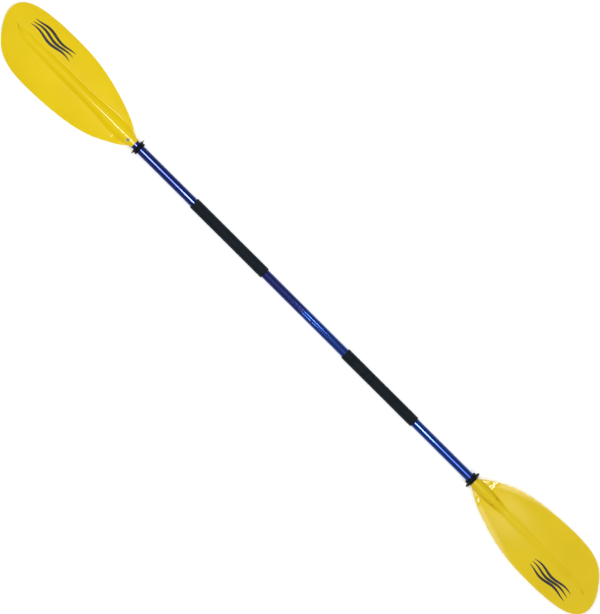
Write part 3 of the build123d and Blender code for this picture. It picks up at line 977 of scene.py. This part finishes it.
# %% The foam grips
GRIP_RADIUS, GRIP_BORE, GRIP_ROUND = 14.95 * MM, 12.0 * MM, 2.8 * MM
WAIST_DEPTH, GRIP_RINGS = 0.18 * MM, 110
for name, body in (("left_grip", "left_half"), ("right_grip", "right_half")):
    low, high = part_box(name)
    middle, half = (low.x + high.x) / 2, (high.x - low.x) / 2
    bend = np.radians(np.linspace(90, 0, 6))
    end_x, end_r = half - GRIP_ROUND, GRIP_RADIUS - GRIP_ROUND
    end_curve = [(end_x + GRIP_ROUND * cos(a), end_r + GRIP_ROUND * sin(a)) for a in bend]
    run = np.linspace(-end_x, end_x, GRIP_RINGS)[1:-1]
    waist = [(x, GRIP_RADIUS - WAIST_DEPTH * cos(pi * x / half / 2) ** 2) for x in run]
    profile = [(-half, GRIP_BORE), *[(-x, r) for x, r in end_curve[::-1]], *waist, *end_curve,
               (half, GRIP_BORE)]
    foam = turned(name + "_foam", [(middle + x, r) for x, r in profile], corner=0.0,
                  depth=0.22 * MM, scale=260.0, material=foam_black)
    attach(foam, body)
    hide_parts(name)

# %% [markdown]
# ## The printed mark
# Each face of a blade carries a printed mark near its long edge. Here it is three plain wave
# stripes that taper at both ends. Print follows the surface it is on, so the tree makes each
# stripe flat, casts rays from it onto the blade, and moves every point to where its ray lands.
# The stripe is then given the thickness of a film of ink and closed underneath.

# %% The tree that prints wave stripes on a surface
ink_tree, ink_in, ink_out = new_tree(
    "printed_waves", "GeometryNodeTree",
    {"Blank": "geometry", "Blade": "object", "Start": "number", "Length": "number",
     "Edge": "number", "Pitch": "number", "Width": "number", "Wave Height": "number",
     "From": "number", "Film": "number", "Finish": "material"}, {"Mark": "geometry"})
ink_node, ink_sum = partial(add, ink_tree), partial(maths, ink_tree)
STRIPES, WAVES = 3, 1.5
PHASE_STEP, TAPER = 0.8, 0.7        # how far each stripe's wave runs ahead, and how soon it swells
here = ink_node("GeometryNodeInputPosition").outputs[0]
surface = ink_node("GeometryNodeObjectInfo", {
    "Object": ink_in.outputs["Blade"]}).outputs["Geometry"]
stripes = []
for stripe in range(STRIPES):
    grid = ink_node("GeometryNodeMeshGrid", {
        "Size X": 1.0, "Size Y": 1.0, "Vertices X": 120, "Vertices Y": 9}).outputs["Mesh"]
    grid_place = ink_node("ShaderNodeSeparateXYZ", {0: here})
    share = ink_sum("ADD", grid_place.outputs["X"], 0.5)
    swing = ink_sum("SINE", ink_sum("MULTIPLY_ADD", share, 2 * pi * WAVES, PHASE_STEP * stripe))
    half_turn = ink_sum("MULTIPLY_ADD", share, pi * 0.98, pi * 0.01)
    taper = ink_sum("POWER", ink_sum("SINE", half_turn), TAPER)
    along = ink_sum("MULTIPLY_ADD", share, ink_in.outputs["Length"], ink_in.outputs["Start"])
    base = ink_sum("MULTIPLY_ADD", ink_in.outputs["Pitch"], float(stripe), ink_in.outputs["Edge"])
    waving = ink_sum("MULTIPLY_ADD", swing, ink_in.outputs["Wave Height"], base)
    breadth = ink_sum("MULTIPLY", ink_sum("MULTIPLY", taper, ink_in.outputs["Width"]),
                      grid_place.outputs["Y"])
    flat_place = ink_node("ShaderNodeCombineXYZ", {
        "X": along, "Y": ink_sum("ADD", waving, breadth),
        "Z": ink_in.outputs["From"]}).outputs[0]
    stripes.append(ink_node("GeometryNodeSetPosition", {
        "Geometry": grid, "Position": flat_place}).outputs[0])
together = ink_node("GeometryNodeJoinGeometry")
for stripe_mesh in stripes:
    ink_tree.links.new(stripe_mesh, together.inputs[0])
ray_way = ink_node("ShaderNodeCombineXYZ", {
    "Z": ink_sum("MULTIPLY", ink_in.outputs["From"], -1.0)}).outputs[0]
landing = ink_node("GeometryNodeRaycast", {
    "Target Geometry": surface, "Source Position": here, "Ray Direction": ray_way,
    "Ray Length": 1.0})
film_way = ink_node("ShaderNodeVectorMath", {
    0: landing.outputs["Hit Normal"], 3: ink_in.outputs["Film"]}, operation="SCALE").outputs[0]
sunk = ink_node("ShaderNodeVectorMath", {
    0: landing.outputs["Hit Position"], 1: film_way}, operation="SUBTRACT").outputs[0]
underside = ink_node("GeometryNodeSetPosition", {
    "Geometry": together.outputs[0], "Position": sunk}).outputs[0]
up = ink_node("ShaderNodeCombineXYZ", {
    "Z": ink_sum("SIGN", ink_in.outputs["From"])}).outputs[0]
film = ink_node("GeometryNodeExtrudeMesh", {
    "Mesh": underside, "Offset": up, "Individual": False,
    "Offset Scale": ink_sum("MULTIPLY", ink_in.outputs["Film"], 2.0)})
closed = ink_node("GeometryNodeJoinGeometry")
ink_tree.links.new(film.outputs["Mesh"], closed.inputs[0])
flipped = ink_node("GeometryNodeFlipFaces", {"Mesh": underside}).outputs[0]
ink_tree.links.new(flipped, closed.inputs[0])
welded = ink_node("GeometryNodeMergeByDistance", {
    "Geometry": closed.outputs[0], "Distance": 1e-6})
real = ink_node("GeometryNodeRealizeInstances", {"Geometry": welded.outputs[0]})
inked = ink_node("GeometryNodeSetMaterial", {
    "Geometry": real.outputs[0], "Material": ink_in.outputs["Finish"]})
ink_tree.links.new(inked.outputs[0], ink_out.inputs["Mark"])

# %% Print both faces of both blades
MARK_FROM, MARK_LENGTH = 0.872, 0.134
MARK_EDGE, MARK_PITCH, MARK_WIDTH, WAVE_HEIGHT = 0.031, 0.0105, 0.0072, 0.0032
FILM = 0.08 * MM
CAST_FROM = 0.1                     # height above and below the shaft that the rays start from
for name, blade, side, body in (("left", left_blade, -1, "left_half"),
                                ("right", right_blade, 1, "right_half")):
    for face, way in (("upper", 1), ("lower", -1)):
        blank = bpy.data.meshes.new("mark_blank")
        mark = bpy.data.objects.new(f"{name}_{face}_mark", blank)
        bpy.context.scene.collection.objects.link(mark)
        run_tree(mark, ink_tree, {
            "Blade": blade, "Start": side * MARK_FROM, "Length": side * MARK_LENGTH,
            "Edge": -side * MARK_EDGE, "Pitch": -side * MARK_PITCH, "Width": MARK_WIDTH,
            "Wave Height": WAVE_HEIGHT, "From": way * CAST_FROM, "Film": FILM, "Finish": ink_black})
        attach(mark, body)
